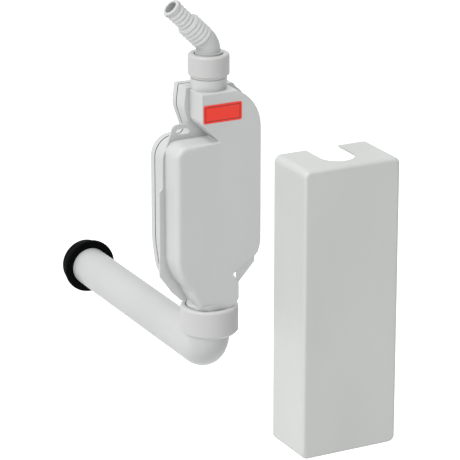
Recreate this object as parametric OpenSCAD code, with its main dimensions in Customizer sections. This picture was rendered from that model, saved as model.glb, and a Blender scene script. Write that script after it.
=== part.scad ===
// Surface-mounted washing machine trap with a 45 degree hose nozzle, a 90 degree wall bend and
// a lift-off cover. Origin: on the wall face, behind the middle of the housing, in the plane of
// the inlet and outlet. X runs to the right along the wall, Y into the wall, Z up.

/* [Housing] */
// Distance of the inlet and outlet axis from the wall face
axis_wall = 28.8; // [28.7:0.1:32]
// Width of the front block
body_w = 90.6; // [84:0.2:100]
// Height of the housing's top face
top_z = 120; // [112:1:135]
// Height of the top of the lower block
lower_top_z = 71; // [66:1:78]
// Height of the housing's bottom edge
bottom_z = -96; // [-98:0.5:-93]
// Depth of the front block, from the axis to its front face
front_y = 22; // [21.8:0.2:25]
// Depth of the front block in front of the fixing plate
block_depth = 25; // [22:0.5:27]
// Wall of the two shells
wall = 2.8; // [2:0.1:3.2]
// Radius of the front block's front edges on the left
edge_r = 5; // [2:0.5:6]
// Radius of the front block's front edges on the right
crisp_r = 1.2; // [0.8:0.1:3]
// Radius of the large shoulder at the upper right
shoulder_r = 42; // [30:1:46]
// How far the rim stands out round the front block
rim_step = 2.6; // [1.5:0.1:3.2]
// Depth of the rear shell
rear_depth = 7.9; // [5.5:0.1:9]
// Thickness of the seal between the shells
seal_t = 1.4; // [1:0.1:2]
// How far the seal lies back from the rim's side
seal_inset = 0.15; // [0.05:0.05:1.2]
// Free end of the recess on the upper left
wedge_x = 0.6; // [-3:0.2:3]
// Place of the notch on the lower right, across
notch_x = 15; // [12:0.5:17]
// Place of the notch on the lower right, up
notch_z = -65.2; // [-68:0.2:-62]

/* [Water way] */
// Thickness of the moulded ribs
rib_t = 2.4; // [1.6:0.1:3]
// Lower edge of the dip rib
dip_z = -30; // [-34:1:-24]
// Depth of the water seal, from the weir's crest down to the dip rib
seal_depth = 50; // [40:1:60]
// Place of the weir rib, across
weir_x = -18; // [-22:0.5:-15]

/* [Fixing plate] */
// Thickness of the plate with the two fixing slots
plate_t = 2.5; // [2:0.1:3.5]
// How far the side wings stand out past the rim
wing_w = 3.6; // [2:0.1:4.2]
// Height of the top of the wings
wing_top_z = 21; // [0:1:35]
// Height of the wings' lower corners
wing_low_z = -65; // [-70:1:-58]
// Width of the fixing slots
slot_w = 5.8; // [4.5:0.1:6.2]
// Length of the fixing slots
slot_l = 14.2; // [10:0.1:15]

/* [Inlet] */
// Outer diameter of the inlet neck
neck_d = 35.3; // [34:0.1:36]
// Height of the neck's shoulder above the housing
neck_h = 5; // [4:0.5:8]
// Diameter of the neck's threaded end
neck_thread_d = 31.4; // [30.6:0.1:32]
// Length of the neck's threaded end
neck_thread_h = 21; // [18:0.5:23]
// Bore of the neck
neck_bore_d = 25; // [22:0.5:26]

/* [Hose nozzle] */
// Outer diameter of the elbow tube
tube_d = 23; // [23:0.1:25]
// Diameter of the collar inside the union nut
collar_d = 26.4; // [25.4:0.1:27]
// Diameter of the clamped flange
flange_d = 30.6; // [29.5:0.1:30.8]
// Thickness of the clamped flange
flange_t = 3; // [2:0.1:4]
// Bend radius of the elbow's centre line
elbow_r = 19.5; // [18:0.5:26]
// Angle of the elbow
elbow_a = 45; // [30:1:60]
// Crest diameter of the large hose barbs
barb_big_d = 24; // [20:0.1:24.4]
// Crest diameter of the small hose barbs
barb_small_d = 18.8; // [15.5:0.1:19]
// Height of one barb
barb_h = 1.1; // [0.4:0.1:1.2]
// Pitch of the barbs
barb_p = 4.6; // [3.6:0.1:5]
// Number of barbs in each size
barb_n = 5; // [3:1:6]
// Bore of the tail
tail_bore_d = 12.6; // [10:0.1:13.2]
// Bore of the elbow tube
tube_bore_d = 18.6; // [16:0.1:19.6]

/* [Union nuts] */
// Outer diameter of the nozzle union nut
nut_d = 40.2; // [39:0.1:43]
// Outer diameter of the skirt under the nozzle union nut
skirt_d = 35.8; // [35:0.1:37]
// Height of the nozzle union nut's skirt
skirt_h = 4.6; // [2:0.1:5]
// Thickness of the nozzle union nut's top
nut_top_t = 3.2; // [2.5:0.1:5]
// Outer diameter of the outlet union nut
big_nut_d = 57.2; // [54:0.1:60]
// Height of the outlet union nut
big_nut_h = 29.5; // [28:0.1:30]
// Thread clearance on the radius
thread_gap = 0.2; // [0.1:0.05:0.4]

/* [Outlet] */
// Outer diameter of the outlet pipe
pipe_d = 40; // [38:0.5:41]
// Wall of the outlet pipe
pipe_t = 3; // [1.8:0.1:4]
// Bend radius of the pipe's centre line
pipe_bend_r = 22; // [21:0.5:22.5]
// Length of the horizontal leg, from the vertical axis to its end
pipe_l = 296; // [150:1:300]
// Outer diameter of the outlet spigot's neck
spigot_d = 43; // [42.5:0.1:43.6]
// Diameter of the outlet spigot's threaded end
spigot_thread_d = 46; // [45:0.1:47]
// Bore of the water way in the outlet spigot
spigot_bore_d = 34; // [28:0.5:36]
// Clearance between the pipe and its socket, on the radius
socket_gap = 0.3; // [0.2:0.05:0.5]

/* [Wall seal] */
// Outer diameter of the rubber collar
collar_od = 56.5; // [50:0.5:64]
// Thickness of the rubber collar's disc
collar_t = 4.6; // [3:0.1:7]
// Outer diameter of the rubber sleeve behind the disc
sleeve_od = 50; // [45:0.5:49.9]
// Length of the rubber sleeve
sleeve_l = 13; // [8:0.5:25]

/* [Label] */
// Width of the label
label_w = 40.6; // [30:0.2:44]
// Height of the label
label_h = 17.8; // [12:0.2:20]
// Thickness of the label
label_t = 0.5; // [0.3:0.1:1]

/* [Cover] */
// Outer width of the cover
cover_w = 107.4; // [104:0.1:125]
// Outer height of the cover
cover_h = 303.6; // [250:0.1:330]
// Outer depth of the cover
cover_d = 62.6; // [57:0.1:75]
// Wall of the cover
cover_t = 2; // [1.6:0.1:2.6]
// Corner radius of the cover, seen from the front
cover_r = 7; // [5:0.5:12]
// Edge radius round the cover's front
cover_edge_r = 3.6; // [3:0.1:5]
// Clearance between the cover's notch and the inlet neck, on the radius
notch_gap = 0.65; // [0.3:0.05:1.5]
// Place of the cover's left side, taken off and stood beside the trap
cover_x = 87.3; // [70:0.1:140]
// Height of the cover's bottom, taken off and stood beside the trap
cover_z = -272.2; // [-290:0.1:-230]

/* [Hidden] */
$fn = 72;
grey = "#d3d4d2";
pale_grey = "#dcdddb";
black = "#161616";
red = "#e4422f";
gasket_t = 2;
fit_gap = 0.3;

hw = body_w / 2;
axis_y = -axis_wall;
front_face_y = axis_y - front_y;
plate_y = front_face_y + block_depth;
rim_back_y = -rear_depth - seal_t;
block_x = -neck_d / 2 - 0.85;
outlet_hw = spigot_d / 2;
outlet_z = bottom_z - 54;
weir_z = dip_z + seal_depth;
plateau_x = 20;
shoulder_c = [hw - shoulder_r, top_z - 39];
rim_hw = hw + rim_step;
wing_hw = rim_hw + wing_w;

neck_top_z = top_z + neck_h + neck_thread_h;
flange_z = neck_top_z + gasket_t;
nut_shelf_z = flange_z + flange_t;
nut_top_z = nut_shelf_z + nut_top_t;
nut_low_z = top_z + neck_h + 1.4;
nut_bore_d = neck_thread_d + 2 * thread_gap;
collar_top_z = nut_top_z + 1.5;
elbow_z = collar_top_z - 0.5;
tail_start = 1.5;
step_l = tail_start + barb_n * barb_p;
tail_l = step_l + barb_n * barb_p + 0.8;

big_nut_low_z = outlet_z + pipe_d / 2 + 1.3;
big_nut_top_z = big_nut_low_z + big_nut_h;
big_nut_bore_d = spigot_thread_d + 2 * thread_gap;
seal_ring_h = 5;
spigot_low_z = big_nut_low_z + 3 + seal_ring_h;
pipe_top_z = bottom_z - 9;
pipe_end_y = axis_y + pipe_l;
collar_y = pipe_end_y - collar_t - sleeve_l;

label_x = 3.7;
label_z = top_z - 20;
slot_left = [-26.2, lower_top_z + 7.8];
slot_right = [notch_x + 14.2, notch_z - 11.6];

// Unit vector along v
function unit(v) = v / norm(v);
// Vector v turned a quarter turn to the right
function right_of(v) = [v[1], -v[0]];
// Arc of n chords that rounds the corner p between its neighbours a and b with radius r
function corner_arc(a, p, b, r, n) = n == 0 ? [p] : let (
    u = unit(a - p), w = unit(b - p), half = acos(u * w) / 2,
    t = min(r / tan(half), 0.7 * norm(a - p), 0.7 * norm(b - p)),
    rr = t * tan(half), c = p + unit(u + w) * rr / sin(half),
    s = p + u * t - c, e = p + w * t - c,
    a0 = atan2(s[1], s[0]), turn = (atan2(e[1], e[0]) - a0 + 540) % 360 - 180)
    [for (k = [0:n]) c + rr * [cos(a0 + turn * k / n), sin(a0 + turn * k / n)]];
// Place of each corner of an outline, without its radius
function places(corners) = [for (c = corners) [c[0], c[1]]];
// Number of chords in the arc at each corner: none where it has no radius
function chords(corners, step) = let (n = len(corners), p = places(corners))
    [for (i = [0:n - 1]) corners[i][2] == 0 ? 0 : let (
        u = unit(p[(i + n - 1) % n] - p[i]), w = unit(p[(i + 1) % n] - p[i]))
        max(1, ceil((180 - acos(u * w)) / step - 0.01))];
// The arcs of a closed outline with corners [x, z, radius], with n[i] chords at corner i
function arcs(corners, n) = let (m = len(corners), p = places(corners))
    [for (i = [0:m - 1]) corner_arc(p[(i + m - 1) % m], p[i], p[(i + 1) % m], corners[i][2], n[i])];
// The same outline as one path, with about step degrees to a chord
function rounded(corners, step = 10) = [for (a = arcs(corners, chords(corners, step))) each a];
// Outward mitre of corner i of a closed path that runs clockwise
function mitre(p, i) = let (n = len(p),
    e = right_of(unit(p[i] - p[(i + n - 1) % n])) * -1, f = right_of(unit(p[(i + 1) % n] - p[i])) * -1)
    (e + f) / (1 + e * f);
// Does corner i of a clockwise path point outwards?
function convex(p, i) = let (n = len(p))
    right_of(p[i] - p[(i + n - 1) % n]) * (p[(i + 1) % n] - p[i]) > 0;
// Corners [x, z, radius] of a clockwise outline moved outwards, each by its own distance in d
function moved(corners, d) = let (p = places(corners))
    [for (i = [0:len(p) - 1]) let (m = p[i] + mitre(p, i) * d[i], r = corners[i][2])
        [m[0], m[1], r == 0 ? 0 : max(r + (convex(p, i) ? d[i] : -d[i]), 0.4)]];
// The same, with one distance for all corners
function grown(corners, d) = moved(corners, [for (c = corners) d]);
// Corners with no rounding of their own along an arc about c
function arc(c, r, a0, a1, n) = [for (k = [0:n]) let (a = a0 + (a1 - a0) * k / n)
    [c[0] + r * cos(a), c[1] + r * sin(a), 0]];

// Front block seen from the front, clockwise from the upper left
function block_corners() = [[block_x, top_z, 0.8], [plateau_x, top_z, 0.8],
    each arc(shoulder_c, shoulder_r, 62, 0, 7), each arc([hw - 35, notch_z + 33], 35, 0, -24, 3),
    [hw - 6, notch_z + 15.6, 10], [notch_x, notch_z, 1.5], [outlet_hw, notch_z - 8, 8],
    [outlet_hw, bottom_z + 5, 1.5], [outlet_hw - 3.5, bottom_z, 1.5], [-outlet_hw + 1.5, bottom_z, 2],
    [-hw + 14.3, bottom_z + 19, 60], [-hw, bottom_z + 79, 80],
    [-hw, lower_top_z, 13], [wedge_x, lower_top_z, 0.6],
    [block_x, lower_top_z + wedge_x - block_x, 8]];
// Rounding of the front edge at each of those corners: nearly sharp all along the right
function block_edges() = [for (c = block_corners())
    c[0] > wedge_x - 1 || c[1] > lower_top_z + 1 ? crisp_r : edge_r];
// Rim of the housing, which carries the seam, clockwise from the upper left
function rim_corners() = let (rw = outlet_hw + rim_step, rr = shoulder_r + rim_step)
    [[block_x - 4, top_z + 1.2, 1], [plateau_x + 8, top_z, 1.5],
    each arc(shoulder_c, rr, acos((plateau_x + 10.5 - shoulder_c[0]) / rr), 0, 6),
    each arc([hw - 35, notch_z + 33], 35 + rim_step, 0, -28, 3), [rw, notch_z + 3, 4],
    [rw, bottom_z + 3, 2], [-rw, bottom_z + 3, 2], [-rw - 5, bottom_z + 11, 6],
    [-rim_hw + 4.4, bottom_z + 30, 40], [-rim_hw, bottom_z + 64, 60],
    [-rim_hw, lower_top_z + 0.4, 20], [block_x + 3.5, lower_top_z + 0.6, 6],
    [block_x - 6.5, lower_top_z + 30, 22]];
// Fixing plate with its two wings, clockwise from the upper left
function plate_corners() = [[-rim_hw, wing_top_z + wing_w, 1], [rim_hw, wing_top_z + wing_w, 1],
    [wing_hw, wing_top_z, 1], [wing_hw, wing_low_z, 1], [wing_hw - 17.5, wing_low_z - 19, 2],
    [outlet_hw + rim_step, bottom_z + 3, 1], [-outlet_hw - rim_step - 4.6, bottom_z + 3, 1],
    [-wing_hw + 13.6, wing_low_z - 19, 2], [-wing_hw, wing_low_z, 1], [-wing_hw, wing_top_z, 1]];
// Upper left lug with the horizontal slot
function lug_corners() = [[slot_left[0] - 9.9, slot_left[1] + 7.2, 6],
    [block_x + 1, slot_left[1] + 7.2, 0], [wedge_x + 6, lower_top_z - 4, 0],
    [-hw + 2, lower_top_z - 26, 0], [-rim_hw, lower_top_z - 18, 0]];

// Prism whose outline lies in the XZ plane, from depth y0 to the deeper y1
module plate_xz(outline, y0, y1) {
    translate([0, y1, 0]) rotate([90, 0, 0]) linear_extrude(y1 - y0) polygon(outline);
}

// Straight bar between two points of the XZ plane
function bar(a, b, t) = let (s = right_of(unit(b - a)) * t / 2) [a - s, b - s, b + s, a + s];

// Moulded block from y_back to y_front, whose front edge is rounded by edges[i] at corner i
module moulded_block(corners, edges, y_back, y_front, rings = 4) {
    count = chords(corners, 10);
    out = [for (c = corners) 1];
    fillet = [for (k = [0:rings]) let (f = 90 * k / rings) [edges * (cos(f) - 1), 1 - sin(f)]];
    past = [[-edges, 0, -1], [out, 0, -1], [out, 1, 0]];
    loft = [for (s = concat(fillet, past)) let (a = arcs(moved(corners, s[0]), count))
        [for (i = [0:len(a) - 1]) for (q = a[i])
            [q[0], y_front + edges[i] * s[1] + (len(s) > 2 ? s[2] : 0), q[1]]]];
    n = len(loft[0]);
    m = len(loft);
    difference() {
        plate_xz(rounded(corners), y_front, y_back);
        polyhedron([for (r = loft) each r], [for (k = [0:m - 1]) for (i = [0:n - 1]) let (
            a = k * n + i, b = k * n + (i + 1) % n, c = (k + 1) % m * n + i,
            d = (k + 1) % m * n + (i + 1) % n) each [[a, c, b], [b, c, d]]], convexity = 8);
    }
}

// Upright cylinder on the inlet and outlet axis, from z0 up to z1
module on_axis(z0, z1, d) {
    translate([0, axis_y, z0]) cylinder(h = z1 - z0, d = d);
}

// Round-ended slot through the fixing plate, turned by a
module slot(at, a) {
    half = (slot_l - slot_w) / 2;
    translate([at[0], plate_y + plate_t / 2, at[1]]) rotate([90, a, 0])
        linear_extrude(plate_t + 2, center = true) {
            square([2 * half, slot_w], center = true);
            for (s = [-1, 1]) translate([s * half, 0]) circle(d = slot_w);
        }
}

// Water way: the outline inside the walls, less the two ribs
module water_way(y0, y1) {
    difference() {
        plate_xz(rounded(grown(block_corners(), -wall)), y0, y1);
        ribs(y0 - 1, y1 + 1);
    }
}

// The dip rib, which hangs from the recess, and the weir rib, which rises from the notch
module ribs(y0, y1) {
    dip_x = wedge_x + rib_t;
    knee = [weir_x, notch_z + notch_x - weir_x];
    plate_xz(bar([dip_x, dip_z], [dip_x, lower_top_z], rib_t), y0, y1);
    plate_xz(bar([notch_x, notch_z], knee + unit([-1, 1]) * rib_t / 2, rib_t), y0, y1);
    plate_xz(bar(knee, [weir_x, weir_z], rib_t), y0, y1);
}

module front_shell() {
    color(grey) difference() {
        union() {
            moulded_block(block_corners(), block_edges(), plate_y + 1, front_face_y);
            plate_xz(rounded(rim_corners()), plate_y, rim_back_y);
            plate_xz(rounded(plate_corners()), plate_y, plate_y + plate_t);
            plate_xz(rounded(lug_corners()), plate_y, plate_y + plate_t);
            on_axis(top_z - wall, top_z + neck_h, neck_d);
            on_axis(top_z, neck_top_z, neck_thread_d);
            on_axis(spigot_low_z + 17, bottom_z + 4, spigot_d);
            on_axis(spigot_low_z, spigot_low_z + 17.5, spigot_thread_d);
        }
        water_way(front_face_y + wall, rim_back_y + 1);
        on_axis(top_z - 2 * wall, neck_top_z + 1, neck_bore_d);
        on_axis(spigot_low_z, bottom_z + 2 * wall, spigot_bore_d);
        on_axis(spigot_low_z - 1, pipe_top_z + 1, pipe_d + 2 * socket_gap);
        translate([-body_w / 2, rim_back_y, bottom_z + 2.8]) cube([body_w, axis_wall, 10]);
        slot(slot_left, 0);
        slot(slot_right, 90);
    }
}

module housing_seal() {
    color(black) difference() {
        plate_xz(rounded(grown(rim_corners(), -seal_inset)), rim_back_y, -rear_depth);
        plate_xz(rounded(grown(block_corners(), -wall)), rim_back_y - 1, 1 - rear_depth);
    }
}

module rear_shell() {
    color(grey) difference() {
        union() {
            plate_xz(rounded(rim_corners()), -rear_depth, 0);
            intersection() {
                ribs(rim_back_y, -wall);
                plate_xz(rounded(grown(block_corners(), -wall - 0.2)), rim_back_y - 1, 0);
            }
        }
        water_way(-rear_depth - 1, -wall);
    }
}

// Profile of the barbed tail, from the elbow's end at 0 up to the tip
function barb_points(d, from) = [for (i = [0:barb_n - 1]) let (z = from + i * barb_p)
    each [[d / 2 - barb_h, z], [d / 2, z + 1.2], [d / 2, z + 1.8], [d / 2 - barb_h, z + barb_p - 0.5]]];

module hose_tail() {
    rotate_extrude()
        polygon(concat([[0, -2], [barb_big_d / 2 - barb_h, -2]],
            barb_points(barb_big_d, tail_start), barb_points(barb_small_d, step_l),
            [[barb_small_d / 2, tail_l - 1], [barb_small_d / 2 - 0.6, tail_l], [0, tail_l]]));
}

// Ring segment of the elbow, whose centre line starts upwards at the origin
module elbow_arc(d, a) {
    translate([-elbow_r, 0, 0]) rotate([90, 0, 0]) rotate_extrude(angle = a)
        translate([elbow_r, 0]) circle(d = d);
}

// One diameter of the elbow with its foot, as a solid
module elbow_solid(d) {
    on_axis(flange_z, elbow_z, d);
    translate([0, axis_y, elbow_z]) elbow_arc(d, elbow_a);
}

module hose_nozzle() {
    color(grey) difference() {
        union() {
            on_axis(flange_z, nut_shelf_z, flange_d);
            on_axis(flange_z, collar_top_z, collar_d);
            elbow_solid(tube_d);
            translate([0, axis_y, elbow_z]) tail_place() hose_tail();
        }
        elbow_solid(tube_bore_d);
        translate([0, axis_y, elbow_z]) tail_place()
            translate([0, 0, -3]) cylinder(h = tail_l + 4, d = tail_bore_d);
    }
}

// Puts the tail on the end of the elbow
module tail_place() {
    translate([-elbow_r, 0, 0]) rotate([0, -elbow_a, 0]) translate([elbow_r, 0, 0]) children();
}

module nozzle_gasket() {
    color(black) difference() {
        on_axis(neck_top_z, flange_z, flange_d - 0.6);
        on_axis(neck_top_z - 1, flange_z + 1, neck_bore_d);
    }
}

module nozzle_union_nut() {
    hole = collar_d / 2 + 0.4;
    r = nut_d / 2;
    low = nut_low_z + skirt_h;
    color(pale_grey) translate([0, axis_y, 0]) difference() {
        rotate_extrude() polygon(rounded([[hole, nut_top_z, 1.6], [r, nut_top_z, 2.6],
            [r, low, 0.3], [skirt_d / 2, low - 1.4, 0.3], [skirt_d / 2, nut_low_z, 0.4],
            [nut_bore_d / 2, nut_low_z, 0], [nut_bore_d / 2, nut_shelf_z, 0],
            [hole, nut_shelf_z, 0]], 18));
    }
}

module outlet_union_nut() {
    r = big_nut_d / 2;
    bore = big_nut_bore_d / 2;
    foot = pipe_d / 2 + 1.5;
    color(pale_grey) translate([0, axis_y, 0])
        rotate_extrude() polygon(rounded([[bore, big_nut_top_z, 1.2], [r, big_nut_top_z, 2.8],
            [r, big_nut_low_z + 3.4, 1], [r - 3.6, big_nut_low_z, 0.6],
            [foot, big_nut_low_z, 0.4], [foot, big_nut_low_z + 3, 0],
            [bore, big_nut_low_z + 3, 0]], 18));
}

module outlet_seal_ring() {
    color(black) translate([0, axis_y, big_nut_low_z + 3]) rotate_extrude()
        polygon([[pipe_d / 2 + fit_gap / 2, 0], [spigot_thread_d / 2 - 0.5, 0],
            [spigot_thread_d / 2 - 1, seal_ring_h], [pipe_d / 2 + fit_gap / 2, seal_ring_h]]);
}

// One diameter of the bend, as a solid, with the legs run on by extra at both ends
module bend_solid(d, extra) {
    on_axis(outlet_z + pipe_bend_r, pipe_top_z + extra, d);
    translate([0, axis_y + pipe_bend_r, outlet_z + pipe_bend_r]) rotate([0, 90, 0]) rotate([0, 0, -90])
        rotate_extrude(angle = 90) translate([pipe_bend_r, 0]) circle(d = d);
    translate([0, axis_y + pipe_bend_r, outlet_z]) rotate([-90, 0, 0])
        cylinder(h = pipe_l - pipe_bend_r + extra, d = d);
}

module outlet_bend() {
    color(grey) difference() {
        bend_solid(pipe_d, 0);
        bend_solid(pipe_d - 2 * pipe_t, 1);
    }
}

module wall_collar() {
    bore = pipe_d / 2 + fit_gap / 2;
    r = collar_od / 2;
    s = sleeve_od / 2;
    color(black) translate([0, collar_y, outlet_z]) rotate([-90, 0, 0]) rotate_extrude()
        polygon(rounded([[bore, 0, 0.6], [r, 0, 1.6], [r, collar_t, 1.2], [s, collar_t, 0],
            [s, collar_t + sleeve_l - 1.2, 0], [s - 1.2, collar_t + sleeve_l, 0],
            [bore, collar_t + sleeve_l, 0]], 20));
}

module label_plate() {
    w = label_w / 2;
    h = label_h / 2;
    color(red) translate([label_x, 0, label_z])
        plate_xz(rounded([[-w, h, 1.6], [w, h, 1.6], [w, -h, 1.6], [-w, -h, 1.6]]),
            front_face_y - label_t, front_face_y);
}

// Rounded box of the cover, shrunk by t on all sides
module cover_shell(t, y_back, y_front) {
    r = cover_r - t;
    e = cover_edge_r - t;
    corners = [[t, cover_h - t, r], [cover_w - t, cover_h - t, r], [cover_w - t, t, r], [t, t, r]];
    moulded_block(corners, [e, e, e, e], y_back, y_front, 6);
}

module cover() {
    mid = cover_w / 2;
    notch_r = neck_d / 2 + notch_gap;
    color(grey) translate([cover_x, 0, cover_z]) {
        difference() {
            cover_shell(0, 0, -cover_d);
            cover_shell(cover_t, 1, -cover_d + cover_t);
            translate([mid, axis_y, cover_h - 2 * cover_r]) cylinder(h = 3 * cover_r, r = notch_r);
            translate([mid - notch_r, axis_y, cover_h - 2 * cover_r])
                cube([2 * notch_r, axis_wall + 1, 3 * cover_r]);
        }
    }
}

hose_nozzle();
nozzle_union_nut();
nozzle_gasket();
front_shell();
housing_seal();
rear_shell();
outlet_union_nut();
outlet_seal_ring();
outlet_bend();
wall_collar();
label_plate();
cover();
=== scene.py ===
"""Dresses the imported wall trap: its finishes, a few added pieces, the light and the camera."""

import logging
from dataclasses import dataclass
from enum import Enum
from math import cos, pi, radians, sin
from typing import ClassVar

import bmesh
import bpy
from mathutils import Matrix, Vector


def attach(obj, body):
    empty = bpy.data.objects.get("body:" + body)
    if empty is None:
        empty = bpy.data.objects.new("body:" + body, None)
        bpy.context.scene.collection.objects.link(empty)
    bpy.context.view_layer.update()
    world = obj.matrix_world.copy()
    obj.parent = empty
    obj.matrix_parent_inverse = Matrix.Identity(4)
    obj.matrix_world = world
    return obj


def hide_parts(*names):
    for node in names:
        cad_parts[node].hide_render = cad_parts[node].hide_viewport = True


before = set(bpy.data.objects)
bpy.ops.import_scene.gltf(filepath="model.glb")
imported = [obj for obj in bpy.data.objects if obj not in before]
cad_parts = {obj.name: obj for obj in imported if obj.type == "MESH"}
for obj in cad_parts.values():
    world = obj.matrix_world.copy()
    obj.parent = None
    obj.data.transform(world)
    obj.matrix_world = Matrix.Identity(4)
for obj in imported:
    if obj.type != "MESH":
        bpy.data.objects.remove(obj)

logging.basicConfig(level=logging.INFO, format="%(message)s")
LOG = logging.getLogger("wall_trap")
ROOT = "root"
MM = 0.001
# Points closer than this, in metres, are one.
MERGE = 1e-7
# The plane of the inlet and the outlet, in millimetres.
AXIS_Y = -28.8
# Where most of a noise's values lie.
NOISE_MIDDLE = (0.3, 0.7)
# How open a hollow is where its painted shade is darkest, and where that painted shade ends.
SHADE_OPENING = (0.15, 0.95)
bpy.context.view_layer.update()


class Slot(Enum):
    """The record's material slots."""

    GREY = "grey_plastic"
    NUT = "nut_plastic"
    RUBBER = "black_rubber"
    LABEL = "red_label"


class NodeGraph:
    """A short way to add and link the nodes of one material."""

    def __init__(self, name: str) -> None:
        """Starts an empty material with its output and its shader.

        Args:
            name: The material's name.
        """
        self.material = bpy.data.materials.new(name)
        self.material.use_nodes = True
        self.tree = self.material.node_tree
        self.tree.nodes.clear()
        self.output = self.add("ShaderNodeOutputMaterial")
        self.shader = self.add("ShaderNodeBsdfPrincipled")
        self.link(self.shader, "BSDF", self.output, "Surface")
        self.place = self.add("ShaderNodeTexCoord")

    def add(self, kind: str, **values: object) -> bpy.types.Node:
        """Adds a node and sets its plain properties.

        Args:
            kind: Blender's name for the node's type.
            **values: Properties of the node, by name.

        Returns:
            The new node.
        """
        node = self.tree.nodes.new(kind)
        for key, value in values.items():
            setattr(node, key, value)
        return node

    def link(self, source: bpy.types.Node, output: str, target: bpy.types.Node, entry: object) -> None:
        """Links one node's output to another's input, by name or number."""
        self.tree.links.new(source.outputs[output], target.inputs[entry])

    def noise(self, scale: float, detail: float = 2.0,
              stretch: tuple[float, float, float] = (1, 1, 1)) -> bpy.types.Node:
        """Adds noise in Object coordinates.

        Args:
            scale: The noise's scale, in cells per metre.
            detail: Octaves of finer noise.
            stretch: Scale of each axis, for drawn-out streaks.

        Returns:
            The noise node.
        """
        spread = self.add("ShaderNodeMapping")
        spread.inputs["Scale"].default_value = stretch
        self.link(self.place, "Object", spread, "Vector")
        node = self.add("ShaderNodeTexNoise")
        node.inputs["Scale"].default_value = scale
        node.inputs["Detail"].default_value = detail
        self.link(spread, "Vector", node, "Vector")
        return node

    def span(self, source: bpy.types.Node, output: str, low: float, high: float) -> bpy.types.Node:
        """Maps the middle of a noise's range to low..high.

        Args:
            source: The node whose output is mapped.
            output: The name of that output.
            low: The value at the lower end of the noise's middle.
            high: The value at its upper end.

        Returns:
            The mapping node, with its output in "Result".
        """
        node = self.add("ShaderNodeMapRange")
        start, end = NOISE_MIDDLE
        for key, value in {"From Min": start, "From Max": end, "To Min": low, "To Max": high}.items():
            node.inputs[key].default_value = value
        self.link(source, output, node, "Value")
        return node

    def hollow_shade(self, tone: bpy.types.Node, reach: float, darkest: float) -> bpy.types.Node:
        """Paints shade into a colour where faces meet in a hollow, taken from ambient occlusion.

        Args:
            tone: The mix node that holds the colour.
            reach: How far from the hollow the painted shade reaches, in metres.
            darkest: The share of the colour that is left deep inside.

        Returns:
            A mix node with the colour and its painted shade.
        """
        # An ambient occlusion node darkens the base colour where faces are close: painted shade in
        # hollows and between parts.
        near = self.add("ShaderNodeAmbientOcclusion", samples=32)
        near.inputs["Distance"].default_value = reach
        level = self.add("ShaderNodeMapRange")
        deep, clear = SHADE_OPENING
        for key, value in {"From Min": deep, "From Max": clear, "To Min": darkest, "To Max": 1.0}.items():
            level.inputs[key].default_value = value
        self.link(near, "AO", level, "Value")
        shaded = self.add("ShaderNodeMix", data_type="RGBA", blend_type="MULTIPLY")
        shaded.inputs[0].default_value = 1.0
        self.tree.links.new(tone.outputs[2], shaded.inputs[6])
        self.tree.links.new(level.outputs["Result"], shaded.inputs[7])
        return shaded

    def bump(self, height: bpy.types.Node, depth: float,
             before: bpy.types.Node | None = None) -> bpy.types.Node:
        """Adds a bump whose full height is depth metres.

        Args:
            height: The node whose first output is the height.
            depth: The bump's depth, in metres.
            before: An earlier bump that this one adds to.

        Returns:
            The bump node.
        """
        node = self.add("ShaderNodeBump")
        node.inputs["Distance"].default_value = depth
        self.tree.links.new(height.outputs[0], node.inputs["Height"])
        if before is not None:
            self.link(before, "Normal", node, "Normal")
        return node


@dataclass(frozen=True)
class MouldedPlastic:
    """Matt injection-moulded plastic: eroded grain, faint flow streaks, slight waves and painted shade in
    its hollows.
    """

    name: str
    colour: tuple[float, float, float]
    roughness: float = 0.5
    spread: float = 0.07
    wear_scale: float = 420.0
    shade: float = 0.03
    flow_scale: float = 14.0
    flow_stretch: tuple[float, float, float] = (1.0, 1.0, 0.35)
    grain: float = 3.0e-6
    grain_scale: float = 2600.0
    wave: float = 9.0e-5
    wave_scale: float = 22.0
    specular: float = 0.4
    # How far the painted shade in hollows reaches, in metres, and the share of the colour it leaves deep
    # inside.
    hollow_shade_reach: float = 0.008
    hollow_shade_tone: float = 0.62

    def material(self) -> bpy.types.Material:
        """Builds the finish's node material."""
        graph = NodeGraph(self.name)
        flow = graph.noise(self.flow_scale, 3.0, self.flow_stretch)
        wear = graph.noise(self.wear_scale, 3.0)
        tone = graph.add("ShaderNodeMix", data_type="RGBA")
        graph.tree.links.new(graph.span(flow, "Fac", 0.0, 1.0).outputs[0], tone.inputs[0])
        tone.inputs[6].default_value = (*(c * (1 - self.shade) for c in self.colour), 1)
        tone.inputs[7].default_value = (*(min(c * (1 + self.shade), 1) for c in self.colour), 1)
        # The colour is darkened by painted shade in its hollows.
        shaded = graph.hollow_shade(tone, self.hollow_shade_reach, self.hollow_shade_tone)
        graph.tree.links.new(shaded.outputs[2], graph.shader.inputs["Base Color"])
        rough = graph.span(wear, "Fac", self.roughness - self.spread, self.roughness + self.spread)
        graph.link(rough, "Result", graph.shader, "Roughness")
        sink = graph.bump(graph.noise(self.wave_scale, 1.0), self.wave)
        skin = graph.bump(graph.noise(self.grain_scale), self.grain, sink)
        graph.link(skin, "Normal", graph.shader, "Normal")
        graph.shader.inputs["Specular IOR Level"].default_value = self.specular
        return graph.material


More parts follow.
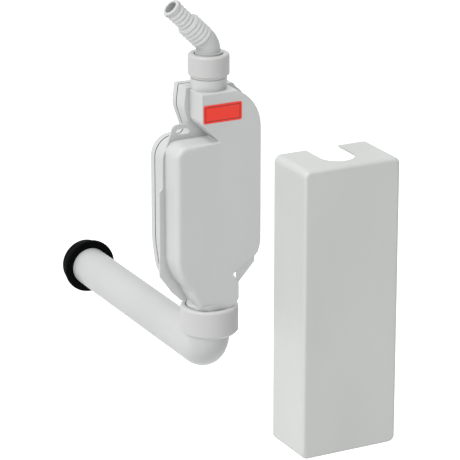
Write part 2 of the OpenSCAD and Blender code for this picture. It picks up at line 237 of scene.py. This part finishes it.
@dataclass(frozen=True)
class MouldedRubber:
    """Black moulded rubber with a dusty bloom and a fine leathery skin."""

    name: str
    colour: tuple[float, float, float] = (0.0012, 0.0013, 0.0016)
    bloom: tuple[float, float, float] = (0.0035, 0.0037, 0.0042)
    bloom_scale: float = 60.0
    roughness: float = 0.6
    smoother: float = 0.1
    duller: float = 0.15
    skin: float = 2.0e-5
    skin_scale: float = 1500.0
    specular: float = 0.03

    def material(self) -> bpy.types.Material:
        """Builds the finish's node material."""
        graph = NodeGraph(self.name)
        dust = graph.noise(self.bloom_scale, 4.0)
        tone = graph.add("ShaderNodeMix", data_type="RGBA")
        graph.tree.links.new(graph.span(dust, "Fac", 0.0, 1.0).outputs[0], tone.inputs[0])
        tone.inputs[6].default_value = (*self.colour, 1)
        tone.inputs[7].default_value = (*self.bloom, 1)
        graph.tree.links.new(tone.outputs[2], graph.shader.inputs["Base Color"])
        rough = graph.span(dust, "Fac", self.roughness - self.smoother, self.roughness + self.duller)
        graph.link(rough, "Result", graph.shader, "Roughness")
        skin = graph.bump(graph.noise(self.skin_scale, 3.0), self.skin)
        graph.link(skin, "Normal", graph.shader, "Normal")
        graph.shader.inputs["Specular IOR Level"].default_value = self.specular
        return graph.material


@dataclass(frozen=True)
class PrintedFoil:
    """Printed self-adhesive foil: even ink over a faint paper grain, slightly glossy."""

    name: str
    colour: tuple[float, float, float]
    shade: float = 0.05
    ink_scale: float = 900.0
    roughness: float = 0.38
    smoother: float = 0.06
    duller: float = 0.08
    sheen_scale: float = 180.0
    skin: float = 2.0e-6
    skin_scale: float = 2200.0

    def material(self) -> bpy.types.Material:
        """Builds the finish's node material."""
        graph = NodeGraph(self.name)
        ink = graph.noise(self.ink_scale)
        tone = graph.add("ShaderNodeMix", data_type="RGBA")
        graph.tree.links.new(graph.span(ink, "Fac", 0.0, 1.0).outputs[0], tone.inputs[0])
        tone.inputs[6].default_value = (*(c * (1 - self.shade) for c in self.colour), 1)
        tone.inputs[7].default_value = (*(min(c * (1 + self.shade), 1) for c in self.colour), 1)
        graph.tree.links.new(tone.outputs[2], graph.shader.inputs["Base Color"])
        sheen = graph.noise(self.sheen_scale)
        rough = graph.span(sheen, "Fac", self.roughness - self.smoother, self.roughness + self.duller)
        graph.link(rough, "Result", graph.shader, "Roughness")
        skin = graph.bump(graph.noise(self.skin_scale), self.skin)
        graph.link(skin, "Normal", graph.shader, "Normal")
        return graph.material


GREY = MouldedPlastic("grey_polypropylene", (0.628, 0.639, 0.636))
PALE = MouldedPlastic("pale_polypropylene", (0.578, 0.583, 0.576), roughness=0.42, grain=1.5e-6)
PIPE = MouldedPlastic("pipe_polypropylene", (0.565, 0.578, 0.570), roughness=0.36, grain=1e-6, wave=5e-5)
HOOD = MouldedPlastic("cover_polystyrene", (0.634, 0.647, 0.634), roughness=0.46, wave=2.2e-4)
RUBBER = MouldedRubber("black_rubber")
RED = PrintedFoil("red_foil", (0.98, 0.032, 0.010))
DARK_RED = PrintedFoil("dark_red_ink", (0.26, 0.008, 0.008))
Finish = MouldedPlastic | MouldedRubber | PrintedFoil


class Painter:
    """Makes each finish once and gives it to nodes and pieces."""

    def __init__(self) -> None:
        """Starts with no material made."""
        self.made: dict[str, bpy.types.Material] = {}

    def material(self, finish: Finish) -> bpy.types.Material:
        """Returns the finish's material, made on first use."""
        if finish.name not in self.made:
            self.made[finish.name] = finish.material()
        return self.made[finish.name]

    def node(self, name: str, finish: Finish) -> None:
        """Paints a CAD node.

        Args:
            name: The node's name.
            finish: The finish it gets.
        """
        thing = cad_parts[name]
        for place in thing.material_slots:
            place.material = self.material(finish)
        LOG.info("dressed %s in %s", name, finish.name)

    def piece(self, name: str, mesh: bmesh.types.BMesh, finish: Finish, slot: Slot) -> bpy.types.Object:
        """Turns a finished bmesh into a piece that rides on the trap.

        Args:
            name: The piece's name.
            mesh: The piece's mesh in metres, in the row's frame. It is freed.
            finish: The finish it gets.
            slot: The record's slot that the finish belongs to; it is not used.

        Returns:
            The new object.
        """
        bmesh.ops.remove_doubles(mesh, verts=mesh.verts, dist=MERGE)
        bmesh.ops.recalc_face_normals(mesh, faces=mesh.faces)
        data = bpy.data.meshes.new(name)
        mesh.to_mesh(data)
        mesh.free()
        data.materials.append(self.material(finish))
        thing = bpy.data.objects.new(name, data)
        bpy.context.scene.collection.objects.link(thing)
        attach(thing, ROOT)
        LOG.info("built %s with %d faces", name, len(data.polygons))
        return thing


@dataclass
class SubAssembly:
    """A group of CAD nodes with their finishes, and the pieces that are added to them."""

    painter: Painter
    finishes: ClassVar[dict[str, Finish]] = {}

    def build(self) -> None:
        """Adds the group's own pieces, where it has any."""

    def dress(self) -> None:
        """Gives each of the group's CAD nodes its finish."""
        for name, finish in self.finishes.items():
            self.painter.node(name, finish)


@dataclass
class HoseNozzle(SubAssembly):
    """The barbed elbow with the grip ticks behind its tip, its nut, and the neck under the nut."""

    finishes = {"hose_nozzle": GREY, "nozzle_gasket": RUBBER}
    tip: tuple[float, float, float] = (-39.86, AXIS_Y, 203.14)
    lean: float = -45.0
    land_radius: float = 9.4
    tick_count: int = 30
    tick_size: tuple[float, float, float] = (0.34, 0.42, 2.6)
    tick_back: float = 2.6
    tick_bevel: float = 0.08
    nut_profile: tuple[tuple[float, float, float], ...] = (
        (13.6, 154.2, 1.6), (20.1, 154.2, 2.6), (20.1, 134.2, 0.3), (17.9, 132.8, 0.3),
        (17.9, 131.4, 0.4), (15.9, 131.4, 0.0), (15.9, 151.0, 0.0), (13.6, 151.0, 0.0))
    neck_profile: tuple[tuple[float, float, float], ...] = (
        (16.0, 119.4, 0.0), (17.66, 119.4, 0.0), (17.66, 130.5, 0.4), (16.0, 130.5, 0.0))
    turn_steps: int = 120

    def build(self) -> None:
        """Adds the ticks, the nut and the neck that carries on up to it."""
        self.ticks()
        self.painter.piece("neck_sleeve", self.turned(self.neck_profile), GREY, Slot.GREY)
        nut = self.painter.piece("inlet_nut", self.turned(self.nut_profile), PALE, Slot.NUT)
        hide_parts("nozzle_union_nut")

    def turned(self, profile: tuple[tuple[float, float, float], ...]) -> bmesh.types.BMesh:
        """Turns a profile round the inlet's axis.

        Args:
            profile: The profile's corners as radius, height and rounding, in millimetres.

        Returns:
            The closed ring's mesh.
        """
        mesh = bmesh.new()
        corners = [mesh.verts.new((radius * MM, 0.0, z * MM)) for radius, z, _ in profile]
        mesh.faces.new(corners)
        for corner, (_, _, rounding) in zip(corners, profile):
            if rounding:
                bmesh.ops.bevel(mesh, geom=[corner], offset=rounding * MM, offset_type="OFFSET",
                                affect="VERTICES", segments=6, profile=0.5, material=-1)
        flat = mesh.faces[:]
        bmesh.ops.spin(mesh, geom=mesh.edges[:], cent=(0, 0, 0), axis=(0, 0, 1), angle=2 * pi,
                       steps=self.turn_steps, use_merge=True)
        bmesh.ops.delete(mesh, geom=flat, context="FACES_ONLY")
        bmesh.ops.translate(mesh, vec=(0, AXIS_Y * MM, 0), verts=mesh.verts)
        return mesh

    def ticks(self) -> None:
        """Adds the ring of ticks behind the tip."""
        mesh = bmesh.new()
        bmesh.ops.create_cube(mesh, size=1.0)
        bmesh.ops.scale(mesh, vec=Vector(self.tick_size) * MM, verts=mesh.verts)
        bmesh.ops.bevel(mesh, geom=mesh.edges[:], offset=self.tick_bevel * MM, offset_type="OFFSET",
                        affect="EDGES", segments=1, profile=0.5, material=-1)
        lift = Vector((0.0, self.land_radius, -self.tick_back)) * MM
        bmesh.ops.translate(mesh, vec=lift, verts=mesh.verts)
        more = self.tick_count - 1
        bmesh.ops.spin(mesh, geom=mesh.verts[:] + mesh.edges[:] + mesh.faces[:], cent=(0, 0, 0),
                       axis=(0, 0, 1), angle=2 * pi * more / self.tick_count, steps=more,
                       use_duplicate=True)
        stand = Matrix.Translation(Vector(self.tip) * MM) @ Matrix.Rotation(radians(self.lean), 4, "Y")
        bmesh.ops.transform(mesh, matrix=stand, verts=mesh.verts)
        self.painter.piece("tail_ticks", mesh, GREY, Slot.GREY)


@dataclass
class Housing(SubAssembly):
    """The two shells with their seal and label, and the block's fuller foot above the outlet nut."""

    finishes = {"front_shell": GREY, "rear_shell": GREY, "housing_seal": RUBBER, "label_plate": RED}
    label_centre: tuple[float, float, float] = (3.7, -51.3, 100.0)
    label_size: tuple[float, float] = (40.6, 17.8)
    line_inset: float = 1.7
    line_width: float = 0.75
    line_corner: float = 0.8
    line_height: float = 0.06
    front_y: float = -50.8
    plate_y: float = -25.8
    proud: float = 0.05
    sunk: float = 0.5
    edge_radius: float = 5.0
    cheek_knee: tuple[float, float] = (-45.35, -58.0)
    cheek_foot: tuple[float, float] = (-18.7, -91.3)
    cheek_inner_foot: float = -12.0
    cheek_inside: tuple[tuple[float, float], ...] = ((-20.0, -77.0), (-26.0, -60.0), (-34.0, -20.0))
    cheek_top: float = 6.0
    knee_reach: float = 15.0
    throat_radius: float = 22.6
    throat_levels: tuple[float, float, float] = (-93.0, -99.0, -103.0)
    throat_sides: tuple[float, float] = (-19.0, 19.5)

    def build(self) -> None:
        """Adds the line on the label, the fuller corner and the throat above the outlet nut."""
        self.label_line()
        self.cheek()
        self.throat()

    def cheek(self) -> None:
        """Adds the fuller lower left corner of the block, which rounds off above the outlet."""
        mesh = bmesh.new()
        front = self.front_y - self.proud
        outer = ((self.cheek_knee[0], self.cheek_top), self.cheek_knee, self.cheek_foot)
        inner_foot = (self.cheek_inner_foot, self.cheek_foot[1])
        inner_top = (self.cheek_inside[-1][0], self.cheek_top)
        outline = (*outer, inner_foot, *self.cheek_inside, inner_top)
        corners = [mesh.verts.new((x * MM, front * MM, z * MM)) for x, z in outline]
        mesh.faces.new(corners)
        bmesh.ops.bevel(mesh, geom=[corners[1]], offset=self.knee_reach * MM, offset_type="OFFSET",
                        affect="VERTICES", segments=18, profile=0.5, material=-1)
        back = bmesh.ops.extrude_face_region(mesh, geom=mesh.faces[:])
        rear = [item for item in back["geom"] if isinstance(item, bmesh.types.BMVert)]
        bmesh.ops.translate(mesh, vec=(0, (self.plate_y + self.sunk - self.front_y) * MM, 0), verts=rear)
        bmesh.ops.recalc_face_normals(mesh, faces=mesh.faces[:])
        buried = {*rear, *corners[len(outer):]}
        rounded = [edge for edge in mesh.edges if not buried.intersection(edge.verts)]
        bmesh.ops.bevel(mesh, geom=rounded, offset=self.edge_radius * MM, offset_type="OFFSET",
                        affect="EDGES", segments=8, profile=0.5, material=-1)
        self.painter.piece("lower_cheek", mesh, GREY, Slot.GREY)

    def throat(self) -> None:
        """Adds the throat that runs from the block's square foot into the round opening of the nut."""
        mesh = bmesh.new()
        front = self.front_y - self.proud
        top, rim, low = self.throat_levels
        ring = bmesh.ops.create_circle(mesh, cap_ends=False, radius=self.throat_radius * MM, segments=72)
        bmesh.ops.translate(mesh, vec=(0, AXIS_Y * MM, rim * MM), verts=ring["verts"])
        for vert in ring["verts"]:
            vert.co.y = max(vert.co.y, front * MM)
            mesh.verts.new((vert.co.x, vert.co.y, low * MM))
        for x in self.throat_sides:
            for y in (front, self.plate_y + self.sunk):
                mesh.verts.new((x * MM, y * MM, top * MM))
        hull = bmesh.ops.convex_hull(mesh, input=mesh.verts[:])
        spare = (*hull["geom_interior"], *hull["geom_unused"])
        loose = {item for item in spare if isinstance(item, bmesh.types.BMVert)}
        bmesh.ops.delete(mesh, geom=list(loose), context="VERTS")
        self.painter.piece("outlet_throat", mesh, GREY, Slot.GREY)

    def label_line(self) -> None:
        """Adds the printed line round the label's edge."""
        mesh = bmesh.new()
        bmesh.ops.create_grid(mesh, x_segments=1, y_segments=1, size=0.5)
        wide, high = (side - 2 * self.line_inset for side in self.label_size)
        bmesh.ops.scale(mesh, vec=(wide * MM, high * MM, 1.0), verts=mesh.verts)
        bmesh.ops.bevel(mesh, geom=mesh.verts[:], offset=self.line_corner * MM, offset_type="OFFSET",
                        affect="VERTICES", segments=3, profile=0.5, material=-1)
        face = mesh.faces[:]
        bmesh.ops.inset_region(mesh, faces=face, thickness=self.line_width * MM, use_boundary=True,
                               use_even_offset=True)
        bmesh.ops.delete(mesh, geom=face, context="FACES")
        rim = bmesh.ops.extrude_face_region(mesh, geom=mesh.faces[:])
        risen = [item for item in rim["geom"] if isinstance(item, bmesh.types.BMVert)]
        bmesh.ops.translate(mesh, vec=(0, 0, self.line_height * MM), verts=risen)
        stand = Matrix.Translation(Vector(self.label_centre) * MM) @ Matrix.Rotation(pi / 2, 4, "X")
        bmesh.ops.transform(mesh, matrix=stand, verts=mesh.verts)
        self.painter.piece("label_line", mesh, DARK_RED, Slot.LABEL)


@dataclass
class Outlet(SubAssembly):
    """The outlet nut, the long bend and the rubber collar."""

    finishes = {
        "outlet_union_nut": PALE, "outlet_seal_ring": RUBBER, "outlet_bend": PIPE, "wall_collar": RUBBER}


@dataclass
class Cover(SubAssembly):
    """The loose box cover beside the trap."""

    finishes = {"cover": HOOD}


@dataclass
class Studio:
    """Floor, lamps and camera."""

    image_side: float = 460.0
    focal_pixels: float = 2800.0
    yaw: float = 27.491
    pitch: float = 19.018
    distance: float = 2.7136
    target: tuple[float, float, float] = (17.914, -38.41, -23.794)
    sensor_width: float = 36.0
    view_reach: float = 60.0
    floor_z: float = -0.62
    floor_half: float = 12.0
    floor_colour: tuple[float, float, float, float] = (0.85, 0.85, 0.85, 1.0)
    floor_glow: float = 0.5
    world_level: float = 0.375
    sun_from: tuple[float, float, float] = (-0.585, -0.227, 0.779)
    sun_away: float = 2.0
    sun_angle: float = 20.0
    sun_strength: float = 2.38
    top_place: tuple[float, float, float] = (-0.6, -0.6, 2.4)
    top_size: float = 1.8
    top_power: float = 3.0

    def floor(self) -> None:
        """Adds the white floor, which keeps the shadow and looks white to the camera."""
        mesh = bmesh.new()
        bmesh.ops.create_grid(mesh, x_segments=1, y_segments=1, size=self.floor_half)
        bmesh.ops.translate(mesh, vec=(0, 0, self.floor_z), verts=mesh.verts)
        data = bpy.data.meshes.new("floor")
        mesh.to_mesh(data)
        mesh.free()
        graph = NodeGraph("floor_white")
        graph.shader.inputs["Base Color"].default_value = self.floor_colour
        graph.shader.inputs["Roughness"].default_value = 0.9
        graph.shader.inputs["Specular IOR Level"].default_value = 0.0
        path = graph.add("ShaderNodeLightPath")
        seen = graph.add("ShaderNodeMath", operation="MAXIMUM")
        graph.link(path, "Is Camera Ray", seen, 0)
        graph.link(path, "Is Glossy Ray", seen, 1)
        level = graph.add("ShaderNodeMath", operation="MULTIPLY")
        graph.link(seen, "Value", level, 0)
        level.inputs[1].default_value = self.floor_glow
        graph.shader.inputs["Emission Color"].default_value = (1, 1, 1, 1)
        graph.link(level, "Value", graph.shader, "Emission Strength")
        data.materials.append(graph.material)
        thing = bpy.data.objects.new("floor", data)
        bpy.context.scene.collection.objects.link(thing)

    def world(self) -> None:
        """Sets an even light all round, and a white background for the camera and for gloss."""
        world = bpy.data.worlds.new("studio")
        world.use_nodes = True
        tree = world.node_tree
        back = tree.nodes["Background"]
        back.inputs["Color"].default_value = (1, 1, 1, 1)
        path = tree.nodes.new("ShaderNodeLightPath")
        seen = tree.nodes.new("ShaderNodeMath")
        seen.operation = "MAXIMUM"
        tree.links.new(path.outputs["Is Camera Ray"], seen.inputs[0])
        tree.links.new(path.outputs["Is Glossy Ray"], seen.inputs[1])
        level = tree.nodes.new("ShaderNodeMapRange")
        level.inputs["To Min"].default_value = self.world_level
        level.inputs["To Max"].default_value = 1.0
        tree.links.new(seen.outputs[0], level.inputs["Value"])
        tree.links.new(level.outputs["Result"], back.inputs["Strength"])
        bpy.context.scene.world = world

    def hang(self, lamp: bpy.types.Light, place: Vector, towards: Vector) -> None:
        """Hangs a lamp.

        Args:
            lamp: The lamp.
            place: Where it hangs, in metres.
            towards: The direction that it shines in.
        """
        thing = bpy.data.objects.new(lamp.name, lamp)
        thing.location = place
        thing.rotation_euler = towards.to_track_quat("-Z", "Y").to_euler()
        bpy.context.scene.collection.objects.link(thing)

    def light(self) -> None:
        """Adds the even light from the upper left, as a tent gives it, and a soft lamp above."""
        sun = bpy.data.lights.new("tent", "SUN")
        sun.energy = self.sun_strength
        sun.angle = radians(self.sun_angle)
        sun.use_shadow = False
        self.hang(sun, Vector(self.sun_from) * self.sun_away, -Vector(self.sun_from))
        top = bpy.data.lights.new("top", "AREA")
        top.shape = "DISK"
        top.size = self.top_size
        top.energy = self.top_power
        place = Vector(self.top_place)
        self.hang(top, place, Vector(self.target) * MM - place)

    def camera(self) -> None:
        """Puts the camera where the photograph was taken from."""
        turn, tilt = radians(self.yaw), radians(self.pitch)
        ahead = Vector((sin(turn) * cos(tilt), cos(turn) * cos(tilt), -sin(tilt)))
        lens = bpy.data.cameras.new("camera")
        lens.sensor_width = self.sensor_width
        lens.lens = self.focal_pixels * self.sensor_width / self.image_side
        lens.clip_end = self.view_reach
        thing = bpy.data.objects.new("camera", lens)
        thing.location = Vector(self.target) * MM - ahead * self.distance
        thing.rotation_euler = ahead.to_track_quat("-Z", "Y").to_euler()
        bpy.context.scene.collection.objects.link(thing)
        bpy.context.scene.camera = thing

    def build(self) -> None:
        """Sets the whole studio up."""
        self.floor()
        self.world()
        self.light()
        self.camera()
        bpy.context.scene.view_settings.view_transform = "Standard"
        LOG.info("set the studio")


def main() -> None:
    """Builds and dresses each sub-assembly, then the studio."""
    painter = Painter()
    for part in (HoseNozzle(painter), Housing(painter), Outlet(painter), Cover(painter)):
        part.build()
        part.dress()
    Studio().build()


if __name__ == "__main__":
    main()
